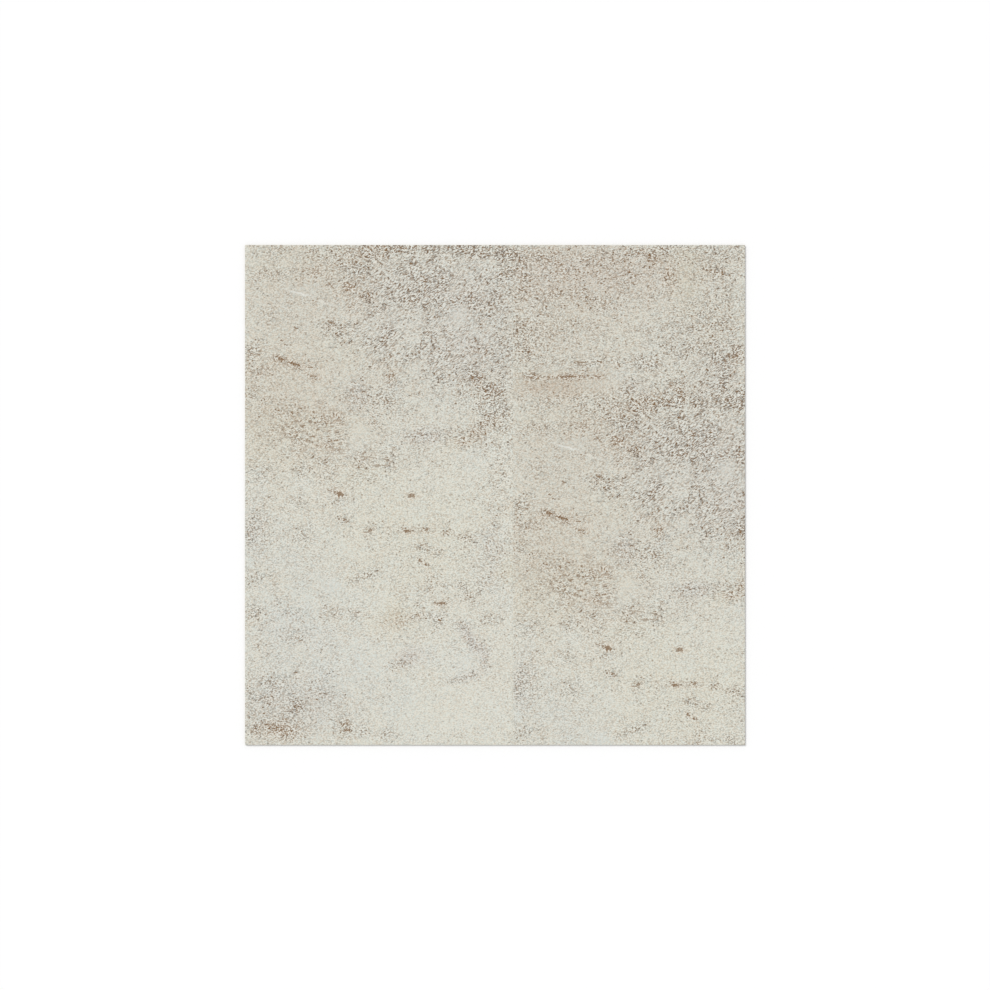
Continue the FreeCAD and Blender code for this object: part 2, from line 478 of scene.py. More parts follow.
BLOOM = [
    # pale patches, where the stone is smooth and has few pits
    (8, 15, 13, 13, 0, 0.50),
    (137, 14, 7, 7, 0, 0.35),
    (72, 166, 20, 8, 0, 0.20),
    (84, 440, 20, 12, 0, 0.30),
    (62, 492, 18, 10, 0, 0.30),
    (160, 588, 10, 10, 0, 0.30),
    (62, 540, 10, 8, 0, 0.25),
    (72, 54, 30, 9, 3, 0.60),
    (188, 38, 12, 8, 0, 0.20),
    (160, 92, 12, 7, 0, 0.28),
    (190, 160, 8, 10, 0, 0.30),
    (85, 188, 12, 10, 0, 0.25),
    (188, 335, 14, 9, 0, 0.30),
    (124, 540, 16, 10, 0, 0.35),
    (75, 90, 12, 16, 0, 0.30),
    (119, 86, 34, 4, -2, 0.30),
    (30, 66, 26, 2.0, 4, 0.50),
    (92, 70, 22, 2.0, -6, 0.50),
    (70, 128, 22, 2.4, -16, 0.60),
    (24, 112, 20, 2.4, -10, 0.50),
    (64, 174, 30, 2.4, 6, 0.50),
    (70, 6, 30, 2.4, 4, 0.50),
    (270, 26, 18, 8, 0, 0.18),
    (258, 88, 10, 11, 0, 0.75),
    (240, 96, 14, 5, 30, 0.35),
    (96, 160, 9, 12, 0, 0.35),
    (128, 150, 12, 10, 0, 0.30),
    (212, 145, 11, 11, 0, 0.60),
    (140, 228, 13, 18, 0, 0.80),
    (132, 250, 8, 8, 0, 0.40),
    (232, 205, 30, 13, -4, 0.40),
    (170, 225, 14, 14, 0, 0.30),
    (270, 275, 60, 20, 0, 0.14),
    (290, 345, 12, 10, 0, 0.40),
    (128, 374, 26, 7, -20, 0.45),
    (110, 415, 11, 12, 30, 0.75),
    (72, 430, 12, 9, 0, 0.50),
    (26, 385, 9, 8, 0, 0.40),
    (168, 430, 14, 12, 0, 0.35),
    (150, 505, 26, 22, 0, 0.40),
    (268, 515, 9, 14, 0, 0.40),
    (245, 572, 100, 34, 0, 0.38),
    (86, 604, 9, 6, 0, 0.60),
    (134, 606, 12, 5, 0, 0.45),
    (90, 582, 16, 14, 0, 0.60),
    (262, 119, 10, 16, 0, 0.42),
    (72, -148, 18, 9, 0, 0.35),
    (214, -138, 12, 14, 0, 0.25),
    (50, -74, 18, 8, 0, 0.30),
    (244, -136, 14, 7, -20, 0.30),
    (160, -100, 50, 9, 22, 0.35),
    (206, -78, 9, 8, 0, 0.30),
    (188, -76, 9, 8, 0, 0.28),
    (238, -75, 9, 8, 0, 0.28),
    (238, 0, 8, 8, 0, 0.35),
    (60, -58, 40, 6, 3, 0.30),
    (125, -20, 22, 8, 0, 0.30),
    (150, -65, 24, 9, 10, 0.25),
]
UMBER = [
    # brown in the stone itself and in its pits
    (60, 50, 80, 60, 0, 0.16),
    (45, 190, 85, 65, 0, 0.26),
    (80, 258, 55, 30, 0, 0.14),
    (85, 34, 12, 9, 0, 0.35),
    (134, 62, 22, 10, -20, 0.30),
    (150, 8, 34, 10, 15, 0.30),
    (126, 50, 8, 6, 0, 0.40),
    (58, 144, 24, 8, -18, 0.34),
    (82, 160, 10, 8, 0, 0.30),
    (20, 155, 18, 12, 0, 0.25),
    (110, 208, 11, 11, 0, 0.50),
    (95, 245, 14, 14, 0, 0.30),
    (176, 158, 6, 12, 0, 0.30),
    (292, 172, 18, 9, -25, 0.30),
    (274, 238, 18, 8, 15, 0.50),
    (294, 218, 22, 10, 36, 0.30),
    (145, 262, 12, 8, 0, 0.25),
    (112, 303, 14, 8, 0, 0.40),
    (203, 306, 9, 6, 0, 0.35),
    (210, 350, 30, 8, 0, 0.25),
    (218, 388, 10, 5, -20, 0.25),
    (230, 420, 9, 14, 0, 0.30),
    (240, 437, 11, 5, 0, 0.30),
    (182, 458, 16, 10, 0, 0.36),
    (216, 454, 20, 6, 6, 0.25),
    (322, 400, 10, 12, 0, 0.25),
    (322, 318, 8, 12, 0, 0.35),
    (42, 592, 34, 13, 0, 0.46),
    (125, 588, 10, 8, 0, 0.25),
    (85, -150, 110, 45, 0, 0.38),
    (50, -80, 70, 34, 0, 0.16),
    (54, -13, 56, 11, 0, 0.72),
    (70, -27, 50, 6, 0, 0.45),
    (192, -148, 7, 18, 0, 0.45),
    (170, -172, 13, 9, -35, 0.35),
    (198, -10, 12, 14, 0, 0.30),
    (275, -54, 9, 10, 0, 0.25),
]
STAIN = [
    # a deeper brown that lies smoothly over the stone
    (44, -15, 46, 10, 0, 0.23),
]
DUSK = [
    # a violet grey in the stone
    (255, 62, 80, 40, 5, 0.42),
    (165, 50, 60, 40, 0, 0.18),
    (272, 130, 55, 40, 0, 0.48),
    (175, 108, 14, 12, 40, 0.25),
    (136, 182, 13, 18, 0, 0.40),
    (160, 125, 45, 40, 0, 0.16),
    (220, 233, 26, 9, 0, 0.48),
    (300, 375, 18, 50, 0, 0.24),
    (10, 345, 14, 32, 0, 0.32),
    (273, 478, 16, 8, -58, 0.75),
    (285, 492, 10, 9, -25, 0.62),
    (291, 506, 7, 14, 0, 0.62),
    (272, 528, 17, 6, 12, 0.50),
    (200, 504, 24, 10, 4, 0.58),
    (60, 560, 60, 30, 0, 0.34),
    (60, 475, 55, 35, 0, 0.16),
    (90, -155, 110, 34, 0, 0.44),
    (145, -12, 14, 10, 0, 0.30),
    (165, -40, 12, 7, 0, 0.25),
    (255, -25, 40, 36, 0, 0.32),
]
HAZE = [
    # a cool blue in the stone
    (40, 375, 60, 65, 0, 0.26),
    (75, 470, 80, 50, 0, 0.42),
    (110, 415, 14, 14, 30, 0.45),
    (60, 545, 70, 40, 0, 0.40),
    (170, 578, 80, 26, 0, 0.20),
    (128, 375, 20, 14, 0, 0.15),
    (230, 500, 40, 40, 0, 0.12),
    (150, 520, 70, 30, 0, 0.26),
    (270, 510, 14, 20, 0, 0.40),
    (280, 50, 60, 40, 0, 0.12),
    (275, 26, 18, 10, 0, 0.18),
    (262, 120, 50, 42, 0, 0.22),
    (240, 190, 40, 22, 0, 0.20),
    (75, 55, 20, 8, 0, 0.40),
    (136, 180, 12, 16, 0, 0.35),
    (180, 175, 14, 14, 0, 0.30),
    (300, 425, 20, 20, 0, 0.15),
    (300, 262, 24, 22, 0, 0.15),
    (265, -178, 20, 12, 0, 0.30),
    (244, -136, 16, 10, 0, 0.30),
    (165, -55, 30, 22, 0, 0.18),
    (208, -85, 18, 12, 0, 0.25),
    (120, -110, 30, 10, 10, 0.25),
]
DUST = [
    # a thin warm grey over everything there
    (60, 60, 90, 70, 0, 0.45),
    (45, 188, 90, 60, 0, 0.40),
    (190, 200, 110, 60, 0, 0.18),
    (50, 566, 80, 40, 0, 0.25),
    (40, 400, 70, 80, 0, 0.12),
    (90, -155, 110, 42, 0, 0.64),
    (190, -125, 34, 12, 0, 0.22),
    (60, -22, 60, 15, 0, 0.75),
    (60, -75, 90, 44, 0, 0.44),
    (225, -90, 70, 60, 0, 0.30),
    (215, 60, 120, 60, 0, 0.14),
    (280, 230, 34, 14, 25, 0.26),
    (225, -165, 56, 30, 0, 0.24),
]
OCHRE = [
    # a yellow tinge
    (214, -145, 16, 30, 0, 0.60),
    (206, -168, 20, 16, 0, 0.35),
    (194, -146, 8, 18, 0, 0.45),
    (40, -20, 40, 14, 0, 0.30),
    (103, 214, 34, 16, 0, 0.20),
    (40, 240, 60, 40, 0, 0.22),
    (150, 280, 40, 18, 0, 0.18),
    (20, 20, 30, 20, 0, 0.15),
    (225, 78, 24, 14, 0, 0.18),
    (120, 130, 30, 24, 0, 0.20),
    (210, 345, 110, 60, 0, 0.20),
    (200, 420, 60, 50, 0, 0.10),
    (40, 190, 70, 60, 0, 0.18),
    (85, 25, 50, 30, 0, 0.12),
    (262, 242, 20, 8, 15, 0.30),
    (184, 456, 22, 16, 0, 0.32),
    (322, 400, 12, 14, 0, 0.50),
]
PALE_STREAKS = [
    # thin pale scratches of the plasterer's trowel
    (67, 59, 16, 1.3, -14, 0.75),
    (98, 71, 18, 1.2, -20, 0.40),
]
STROKED = [
    # where the dark grains gather in short level strokes
    (80, 222, 44, 30, 0, 0.90),
    (104, 242, 20, 12, 0, 0.50),
    (160, 266, 30, 16, 0, 0.70),
    (60, 30, 60, 30, 0, 0.28),
    (40, 152, 60, 22, 0, 0.34),
    (60, 108, 50, 24, 0, 0.16),
    (70, -40, 60, 12, 0, 0.40),
    (30, 280, 40, 20, 0, 0.20),
    (192, 455, 28, 10, 0, 0.40),
    (40, 590, 34, 14, 0, 0.30),
]
SLANT = [
    # where the grain runs up to the right; elsewhere it is nearly level
    (215, 45, 110, 45, 0, 1.0),
    (245, 125, 90, 55, 0, 1.0),
    (155, 110, 60, 50, 0, 0.8),
    (265, -40, 50, 60, 0, 0.8),
    (60, 200, 70, 60, 0, 0.3),
    (90, -140, 110, 50, 0, 0.4),
]

# Each vertex by its place in the print, in millimetres across and down.
places = np.empty(len(tile.data.vertices) * 3)
tile.data.vertices.foreach_get("co", places)
places = places.reshape(-1, 3)
beyond_joint = places[:, 0] > joint_x + SAME_PLACE
across = (places[:, 0] - np.where(beyond_joint, joint_x, back_corner.x)) / MM
down = (face_corner.y - places[:, 1] - np.where(beyond_joint, PRINT_DROP, 0)) / MM

CLOUD_FALL = 0.6
CLOUD_STEP = 2.0


def cloud(wavelength, octaves, level):
    """Soft noise at each vertex, from about -1 to 1, of a wavelength in millimetres.

    Each octave is finer by CLOUD_STEP, and the fainter the higher CLOUD_FALL is.
    Clouds at different levels are unlike each other.
    """
    return np.array([
        noise.fractal(
            Vector((x / wavelength, y / wavelength, level)), CLOUD_FALL, CLOUD_STEP, octaves
        )
        for x, y in zip(across, down)
    ])


def laid_out(marks, x, y):
    """How strongly the marks cover each place: 0 is bare and 1 is covered."""
    bare = np.ones(len(x))
    for mark_x, mark_y, half_length, half_width, rise, strength in marks:
        turn = math.radians(rise)
        along = (x - mark_x) * math.cos(turn) - (y - mark_y) * math.sin(turn)
        athwart = (x - mark_x) * math.sin(turn) + (y - mark_y) * math.cos(turn)
        spread = (along / half_length) ** 2 + (athwart / half_width) ** 2
        bare *= 1 - strength * np.exp(-spread)
    return 1 - bare


# The edges of the marks wander as those of stains do, broadly and finely, by
# these millimetres. A clot is small, and keeps closer to its place.
BROAD_WANDER = 4
BROAD_WAVE = 34
FINE_WANDER = 1.5
FINE_WAVE = 7
CLOT_WANDER = 1.0
CLOT_WAVE = 6
wander_x = across + BROAD_WANDER * cloud(BROAD_WAVE, 2, 3.1)
wander_x = wander_x + FINE_WANDER * cloud(FINE_WAVE, 1, 8.2)
wander_y = down + BROAD_WANDER * cloud(BROAD_WAVE, 2, 5.7)
wander_y = wander_y + FINE_WANDER * cloud(FINE_WAVE, 1, 9.9)
clot_x = across + CLOT_WANDER * cloud(CLOT_WAVE, 2, 8.2)
clot_y = down + CLOT_WANDER * cloud(CLOT_WAVE, 2, 9.9)

# How open the pits are: about 0.3 in smooth plaster and 1 in a dark field. A
# bloom closes them, a clot opens them further, and they gather in clumps.
PITS_AT_LEAST = 0.31
PITS_SPAN = 1.24
BLOOM_CLOSES = 0.8
PITS_IN_CLUMPS = 0.38
CLOT_OPENS = 0.3
CLUMP_WAVE = 10
clumps = cloud(CLUMP_WAVE, 3, 1.3)
clots = laid_out(CLOTS, clot_x, clot_y)
pits = PITS_AT_LEAST + PITS_SPAN * laid_out(PITS, wander_x, wander_y)
pits = pits * (1 - BLOOM_CLOSES * laid_out(BLOOM, wander_x, wander_y))
pits = pits * (1 + PITS_IN_CLUMPS * clumps) + CLOT_OPENS * clots

# How strongly each ink is printed. Umber, dusk and dust gather in the clumps of
# the pits, umber in the clots too, and broad drifts make the haze and the umber
# uneven.
UMBER_IN_CLUMPS = 0.4
UMBER_IN_CLOTS = 0.25
UMBER_IN_DRIFTS = 0.08
DUSK_IN_CLUMPS = 0.05
DUST_IN_CLUMPS = 0.3
HAZE_IN_DRIFTS = -0.25
CLOT_STRENGTH = 0.8
DRIFT_WAVE = 26
drifts = cloud(DRIFT_WAVE, 2, 6.4)
umber = laid_out(UMBER, wander_x, wander_y) * (1 + UMBER_IN_CLUMPS * clumps)
inks = {
    "pits": pits,
    "umber": umber + UMBER_IN_CLOTS * clots + UMBER_IN_DRIFTS * drifts,
    "stain": laid_out(STAIN, wander_x, wander_y),
    "dusk": laid_out(DUSK, wander_x, wander_y) + DUSK_IN_CLUMPS * clumps,
    "haze": laid_out(HAZE, wander_x, wander_y) + HAZE_IN_DRIFTS * drifts,
    "ochre": laid_out(OCHRE, wander_x, wander_y),
    "dust": laid_out(DUST, wander_x, wander_y) * (1 + DUST_IN_CLUMPS * clumps),
    "slant": laid_out(SLANT, wander_x, wander_y),
    "stroked": laid_out(STROKED, wander_x, wander_y),
    "clots": CLOT_STRENGTH * clots,
}
for name, cover in inks.items():
    ink = tile.data.attributes.new(name=name, type="FLOAT", domain="POINT")
    ink.data.foreach_set("value", np.maximum(cover, 0).astype(np.float32))

# The pattern's own map, in metres, with the second start beyond the joint.
PRINT_MAP = "print"
print_map = tile.data.uv_layers.new(name=PRINT_MAP)
corners_of_faces = np.empty(len(tile.data.loops), np.int64)
tile.data.loops.foreach_get("vertex_index", corners_of_faces)
face_middles = np.empty(len(tile.data.polygons) * 3)
tile.data.polygons.foreach_get("center", face_middles)
face_sizes = np.empty(len(tile.data.polygons), np.int64)
tile.data.polygons.foreach_get("loop_total", face_sizes)
face_beyond = np.repeat(face_middles.reshape(-1, 3)[:, 0] > joint_x, face_sizes)
map_x = places[corners_of_faces, 0] - np.where(face_beyond, joint_x, back_corner.x)
map_y = places[corners_of_faces, 1] - face_corner.y + np.where(face_beyond, PRINT_DROP, 0)
print_map.uv.foreach_set("vector", np.stack([map_x, map_y], 1).astype(np.float32).ravel())

# The relief: the press roll follows the print, so that pitted stretches and
# clots lie lower. It dies out at the joint and at the rim, which stay straight.
RELIEF_DEPTH = 0.16 * MM
RELIEF_CLEAR = 2.2 * MM
RELIEF_WAVE = 6.5
SUNK_AT_LEAST = 0.1
SUNK_SPAN = 0.9
hollows = np.abs(cloud(RELIEF_WAVE, 2, 12.5))
sunk = np.clip(SUNK_AT_LEAST + SUNK_SPAN * pits * hollows, 0, 1)
from_rim = np.minimum(
    flat_width / 2 - np.abs(places[:, 0]), flat_length / 2 - np.abs(places[:, 1])
)
from_joint = np.abs(places[:, 0] - joint_x) - JOINT_WIDTH / 2
room = np.clip(np.minimum(from_rim, from_joint) / RELIEF_CLEAR, 0, 1)
on_face = places[:, 2] > face_height - SAME_PLACE
emboss = tile.vertex_groups.new(name="emboss")
for index, weight in enumerate(sunk * room * on_face):
    if weight > 0:
        emboss.add([index], weight, "REPLACE")
press = tile.modifiers.new("press_roll", "DISPLACE")
press.direction = "Z"
press.strength = -RELIEF_DEPTH
press.mid_level = 0
press.vertex_group = emboss.name
bpy.ops.object.modifier_apply(modifier=press.name)
bpy.ops.object.shade_smooth_by_angle(angle=SHARPEST_SMOOTH_EDGE)


def linear(hex_colour):
    """An sRGB hex colour as linear red, green, blue and alpha."""
    parts = [int(hex_colour[i:i + 2], 16) / 255 for i in (0, 2, 4)]
    return [p / 12.92 if p <= 0.04045 else ((p + 0.055) / 1.055) ** 2.4 for p in parts] + [1]


def add_node(tree, kind, settings=None, **sockets):
    """Adds a node, with its settings, and a value or a link for each named socket.

    A socket's name is written in lower case with _ for a space, and a number
    after __ picks among sockets of one name.
    """
    made = tree.nodes.new(kind)
    for name, value in (settings or {}).items():
        setattr(made, name, value)
    for name, value in sockets.items():
        words, _, number = name.partition("__")
        wanted = words.replace("_", " ")
        matches = [s for s in made.inputs if s.enabled and s.name.lower() == wanted]
        socket = matches[int(number or 0)]
        if isinstance(value, bpy.types.NodeSocket):
            tree.links.new(value, socket)
        else:
            socket.default_value = value
    return made


def new_material(name):
    """A material on which no node is made yet, and its node tree."""
    made = bpy.data.materials.new(name)
    made.use_nodes = True
    made.node_tree.nodes.clear()
    return made, made.node_tree


# Matt urethane wear layer over a printed stone film. It gives the eye a dry,
# even surface with the stone's colours, and a sheen only at a low angle.
VINYL_IOR = 1.5
WEAR_ROUGHNESS = 0.62
CREAM = "DEDCD0"
OCHRE_TINT = "D8D3B8"
HAZE_TINT = "D4D9D6"
DUST_TINT = "C2BBAD"
DUSK_TINT = "CBC5C0"
UMBER_TINT = "D3C6B5"
COOL_FLECK = "CEDCD6"
WARM_FLECK = "E0D3BC"
# This pale tint serves the pale streaks of the print and the painted highlights beside the pits.
PALE_PRINT_AND_HIGHLIGHT_TINT = "E8E9E2"
GREY_PIT_TINT = "71665A"
UMBER_PIT_TINT = "795A37"

# The real print is finer than the picture's pixels, which are 1.2 mm apart on
# the tile. Its grains are drawn about one pixel wide, so that they show. They
# lie nearly level, and run up to the right where the slant is laid out.
LEVEL_WAVE = 1.3 * MM
LEVEL_RISE = math.radians(10)
LEVEL_STRETCH = 1.7
STREAK_WAVE = 1.15 * MM
STREAK_RISE = math.radians(31)
STREAK_STRETCH = 3.2
SPECK_WAVE = 0.95 * MM
SPECK_TURN = math.radians(52)
SPECK_SHARE = 0.34
RIDGE_WAVE = 4.0 * MM
LEVEL_RIDGES = 0.10
RISING_RIDGES = 0.16
PORE_WAVE = 2.4 * MM
PORE_STRETCH = 1.4
FLECK_WAVE = 2.4 * MM
STROKE_WAVE = 3.6 * MM
STROKE_RISE = math.radians(5)
STROKE_STRETCH = 3.0

wear_face, tree = new_material("matt_urethane_over_stone_print")
pattern = add_node(tree, "ShaderNodeUVMap", {"uv_map": PRINT_MAP}).outputs["UV"]
inked = {
    name: add_node(tree, "ShaderNodeAttribute", {"attribute_name": name}).outputs["Fac"]
    for name in inks
}

# Each noise is cut askew by its first two turns, in radians, so that its cells
# don't line up with the tile.
noises = {}
for name, turns, stretch, wavelength, detail in (
    ("level grain", (0.62, 0.2, LEVEL_RISE), LEVEL_STRETCH, LEVEL_WAVE, 0.0),
    ("rising grain", (0.62, 0.2, STREAK_RISE), STREAK_STRETCH, STREAK_WAVE, 0.0),
    ("level ridges", (0.55, 0.2, LEVEL_RISE), LEVEL_STRETCH, RIDGE_WAVE, 1.0),
    ("rising ridges", (0.55, 0.2, STREAK_RISE), STREAK_STRETCH, RIDGE_WAVE, 1.0),
    ("specks", (0.65, 0.5, SPECK_TURN), 1.0, SPECK_WAVE, 0.0),
    ("pores", (0.4, 0.7, LEVEL_RISE), PORE_STRETCH, PORE_WAVE, 0.0),
    ("flecks", (0.5, 0.6, SPECK_TURN), 1.0, FLECK_WAVE, 0.0),
    ("short strokes", (0.45, 0.3, STROKE_RISE), STROKE_STRETCH, STROKE_WAVE, 1.0),
):
    turned = add_node(
        tree, "ShaderNodeMapping", {"vector_type": "TEXTURE"}, vector=pattern,
        rotation=turns, scale=(stretch, 1, 1),
    ).outputs["Vector"]
    noises[name] = add_node(
        tree, "ShaderNodeTexNoise", vector=turned, scale=1 / wavelength, detail=detail
    ).outputs["Fac"]

# The grain is mixed from those noises. Its low values are the pits.
ridge_share = add_node(
    tree, "ShaderNodeMapRange", value=inked["slant"], to_min=LEVEL_RIDGES, to_max=RISING_RIDGES
).outputs["Result"]
ridges = add_node(
    tree, "ShaderNodeMix", {"data_type": "FLOAT"}, factor=inked["slant"],
    a=noises["level ridges"], b=noises["rising ridges"],
).outputs[0]
grain = noises["level grain"]
for over, share in (
    (noises["rising grain"], inked["slant"]),
    (noises["specks"], SPECK_SHARE),
    (ridges, ridge_share),
):
    grain = add_node(
        tree, "ShaderNodeMix", {"data_type": "FLOAT"}, factor=share, a=grain, b=over
    ).outputs[0]

# Pits open where the grain is low, and rounder pores among them.
PIT_STARTS = 0.585
PIT_FULL = 0.365
PORE_STARTS = 0.34
PORE_FULL = 0.23
PORE_DEPTH = 1.1
pit_shape = add_node(
    tree, "ShaderNodeMapRange", {"interpolation_type": "SMOOTHSTEP"}, value=grain,
    from_min=PIT_STARTS, from_max=PIT_FULL,
).outputs["Result"]
pore_shape = add_node(
    tree, "ShaderNodeMapRange", {"interpolation_type": "SMOOTHSTEP"}, value=noises["pores"],
    from_min=PORE_STARTS, from_max=PORE_FULL, to_max=PORE_DEPTH,
).outputs["Result"]
openings = add_node(
    tree, "ShaderNodeMath", {"operation": "ADD"}, value__0=pit_shape, value__1=pore_shape
).outputs["Value"]
pitted = add_node(
    tree, "ShaderNodeMath", {"operation": "MULTIPLY", "use_clamp": True},
    value__0=openings, value__1=inked["pits"],
).outputs["Value"]

# Between the pits the grains are paler and cooler than the stone: pale grains of the print, and
# with them a painted highlight beside each pit, as where light catches an embossed relief.
PALE_AND_HIGHLIGHT_STARTS = 0.49
PALE_AND_HIGHLIGHT_FULL = 0.64
PALE_AND_HIGHLIGHT_SHARE = 0.68
pale_and_highlight_shape = add_node(
    tree, "ShaderNodeMapRange", {"interpolation_type": "SMOOTHSTEP"}, value=grain,
    from_min=PALE_AND_HIGHLIGHT_STARTS, from_max=PALE_AND_HIGHLIGHT_FULL, to_max=PALE_AND_HIGHLIGHT_SHARE,
).outputs["Result"]
pale_grains_and_highlights = add_node(
    tree, "ShaderNodeMath", {"operation": "MULTIPLY", "use_clamp": True},
    value__0=pale_and_highlight_shape, value__1=inked["pits"],
).outputs["Value"]

# The strongest clots are drawn once more, sharper than the vertices carry them.
# The pale streaks are drawn only here. Both wander too, by half of SHARP_WANDER
# at most.
SHARP_FROM = 0.7
SHARP_EDGE = 1.6
SHARP_WANDER = 3 * MM
SHARP_WANDER_WAVE = 6 * MM
wander_noise = add_node(
    tree, "ShaderNodeTexNoise", vector=pattern, scale=1 / SHARP_WANDER_WAVE, detail=2
).outputs["Color"]
each_way = add_node(
    tree, "ShaderNodeVectorMath", {"operation": "SUBTRACT"},
    vector__0=wander_noise, vector__1=(0.5, 0.5, 0.5),
).outputs["Vector"]
wandering = add_node(
    tree, "ShaderNodeVectorMath", {"operation": "MULTIPLY_ADD"},
    vector__0=each_way, vector__1=(SHARP_WANDER, SHARP_WANDER, 0), vector__2=pattern,
).outputs["Vector"]


def drawn_sharp(marks, cover):
    """The cover with each of the marks drawn over it, where it is the stronger."""
    for mark_x, mark_y, half_length, half_width, rise, strength in marks:
        within = add_node(
            tree, "ShaderNodeMapping", {"vector_type": "TEXTURE"}, vector=wandering,
            location=(mark_x * MM, -mark_y * MM, 0), rotation=(0, 0, math.radians(rise)),
            scale=(half_length * MM, half_width * MM, 1),
        ).outputs["Vector"]
        off = add_node(
            tree, "ShaderNodeVectorMath", {"operation": "LENGTH"}, vector=within
        ).outputs["Value"]
        mark = add_node(
            tree, "ShaderNodeMapRange", {"interpolation_type": "SMOOTHSTEP"}, value=off,
            from_min=SHARP_EDGE, from_max=0, to_max=strength,
        ).outputs["Result"]
        cover = add_node(
            tree, "ShaderNodeMath", {"operation": "MAXIMUM"}, value__0=cover, value__1=mark
        ).outputs["Value"]
    return cover


strongest_clots = [mark for mark in CLOTS if mark[-1] >= SHARP_FROM]
clot_strength = drawn_sharp(strongest_clots, inked["clots"])
pale_streaks = drawn_sharp(PALE_STREAKS, 0)

# The grain eats into each clot, and leaves it ragged.
GRAIN_EATS = -1.2
CLOT_STARTS = -0.15
CLOT_FULL = 0.08
CLOT_COVER = 0.75
ragged = add_node(
    tree, "ShaderNodeMath", {"operation": "MULTIPLY_ADD"},
    value__0=grain, value__1=GRAIN_EATS, value__2=clot_strength,
).outputs["Value"]
clotted = add_node(
    tree, "ShaderNodeMapRange", {"interpolation_type": "SMOOTHSTEP"}, value=ragged,
    from_min=CLOT_STARTS, from_max=CLOT_FULL, to_max=CLOT_COVER,
).outputs["Result"]

# Short level strokes lie where they are laid out.
STROKE_STARTS = 0.435
STROKE_FULL = 0.33
STROKE_COVER = 0.80
stroke_shape = add_node(
    tree, "ShaderNodeMapRange", {"interpolation_type": "SMOOTHSTEP"},
    value=noises["short strokes"], from_min=STROKE_STARTS, from_max=STROKE_FULL,
    to_max=STROKE_COVER,
).outputs["Result"]
short_strokes = add_node(
    tree, "ShaderNodeMath", {"operation": "MULTIPLY"},
    value__0=stroke_shape, value__1=inked["stroked"],
).outputs["Value"]

# Fleck by fleck the print is a little warmer or cooler, and its pits more so.
FLECK_COOL_AT = 0.3
FLECK_WARM_AT = 0.7
FLECK_SHARE = 0.26
FLECK_IN_PITS = 0.9
fleck_warmth = add_node(
    tree, "ShaderNodeMapRange", value=noises["flecks"],
    from_min=FLECK_COOL_AT, from_max=FLECK_WARM_AT,
).outputs["Result"]
fleck_colour = add_node(
    tree, "ShaderNodeMix", {"data_type": "RGBA"}, factor=fleck_warmth,
    a=linear(COOL_FLECK), b=linear(WARM_FLECK),
).outputs[2]
pit_warmth = add_node(
    tree, "ShaderNodeMath", {"operation": "MULTIPLY_ADD", "use_clamp": True},
    value__0=fleck_warmth, value__1=FLECK_IN_PITS, value__2=inked["umber"],
).outputs["Value"]
pit_colour = add_node(
    tree, "ShaderNodeMix", {"data_type": "RGBA"}, factor=pit_warmth,
    a=linear(GREY_PIT_TINT), b=linear(UMBER_PIT_TINT),
).outputs[2]

# The inks lie over the cream one by one, in this order.
colour = linear(CREAM)
for tint, cover in (
    (linear(OCHRE_TINT), inked["ochre"]),
    (linear(HAZE_TINT), inked["haze"]),
    (linear(DUST_TINT), inked["dust"]),
    (linear(DUSK_TINT), inked["dusk"]),
    (linear(UMBER_TINT), inked["umber"]),
    (linear(UMBER_PIT_TINT), inked["stain"]),
    (fleck_colour, FLECK_SHARE),
    # pale grains of the print, with a painted highlight beside the pits
    (linear(PALE_PRINT_AND_HIGHLIGHT_TINT), pale_grains_and_highlights),
    (pit_colour, pitted),
    (linear(UMBER_PIT_TINT), short_strokes),
    (linear(PALE_PRINT_AND_HIGHLIGHT_TINT), pale_streaks),
    (linear(UMBER_PIT_TINT), clotted),
):
    colour = add_node(
        tree, "ShaderNodeMix", {"data_type": "RGBA"}, factor=cover, a=colour, b=tint
    ).outputs[2]

# The pits are pressed in as well as printed, too finely for the mesh.
PIT_DEPTH = 0.3 * MM
PIT_BUMP = 0.45
bumps = add_node(
    tree, "ShaderNodeBump", {"invert": True}, strength=PIT_BUMP, distance=PIT_DEPTH, height=pitted
)
shader = add_node(
    tree, "ShaderNodeBsdfPrincipled", base_color=colour, roughness=WEAR_ROUGHNESS, ior=VINYL_IOR,
    normal=bumps.outputs["Normal"],
)
add_node(tree, "ShaderNodeOutputMaterial", surface=shader.outputs["BSDF"])

# Die-cut filled vinyl. The cut edge shows the chalk-filled core: a dull warm
# grey with fine plumb drag marks from the punch. The chalk is much finer than
# 0.25 mm, and is drawn that coarse so that it shows close up.
CORE_TINT = "B5AE9F"
CORE_DARK = "9C9484"
EDGE_ROUGHNESS = 0.75
DRAG_MARK = 0.7 * MM
DRAG_STRETCH = 12
CHALK_GRAIN = 0.25 * MM
DRAG_DEPTH = 0.05 * MM
DRAG_BUMP = 0.4

cut_edge, tree = new_material("die_cut_filled_vinyl")
place = add_node(tree, "ShaderNodeTexCoord").outputs["Object"]
drawn_down = add_node(
    tree, "ShaderNodeMapping", {"vector_type": "TEXTURE"}, vector=place, scale=(1, 1, DRAG_STRETCH)
).outputs["Vector"]
drag = add_node(
    tree, "ShaderNodeTexNoise", vector=drawn_down, scale=1 / DRAG_MARK, detail=2, roughness=0.6
).outputs["Fac"]
chalk = add_node(
    tree, "ShaderNodeTexNoise", vector=place, scale=1 / CHALK_GRAIN, detail=2, roughness=0.7
).outputs["Fac"]
core = add_node(
    tree, "ShaderNodeMix", {"data_type": "RGBA"}, factor=drag,
    a=linear(CORE_DARK), b=linear(CORE_TINT),
).outputs[2]
drag_and_chalk = add_node(
    tree, "ShaderNodeMath", {"operation": "ADD"}, value__0=drag, value__1=chalk
).outputs["Value"]
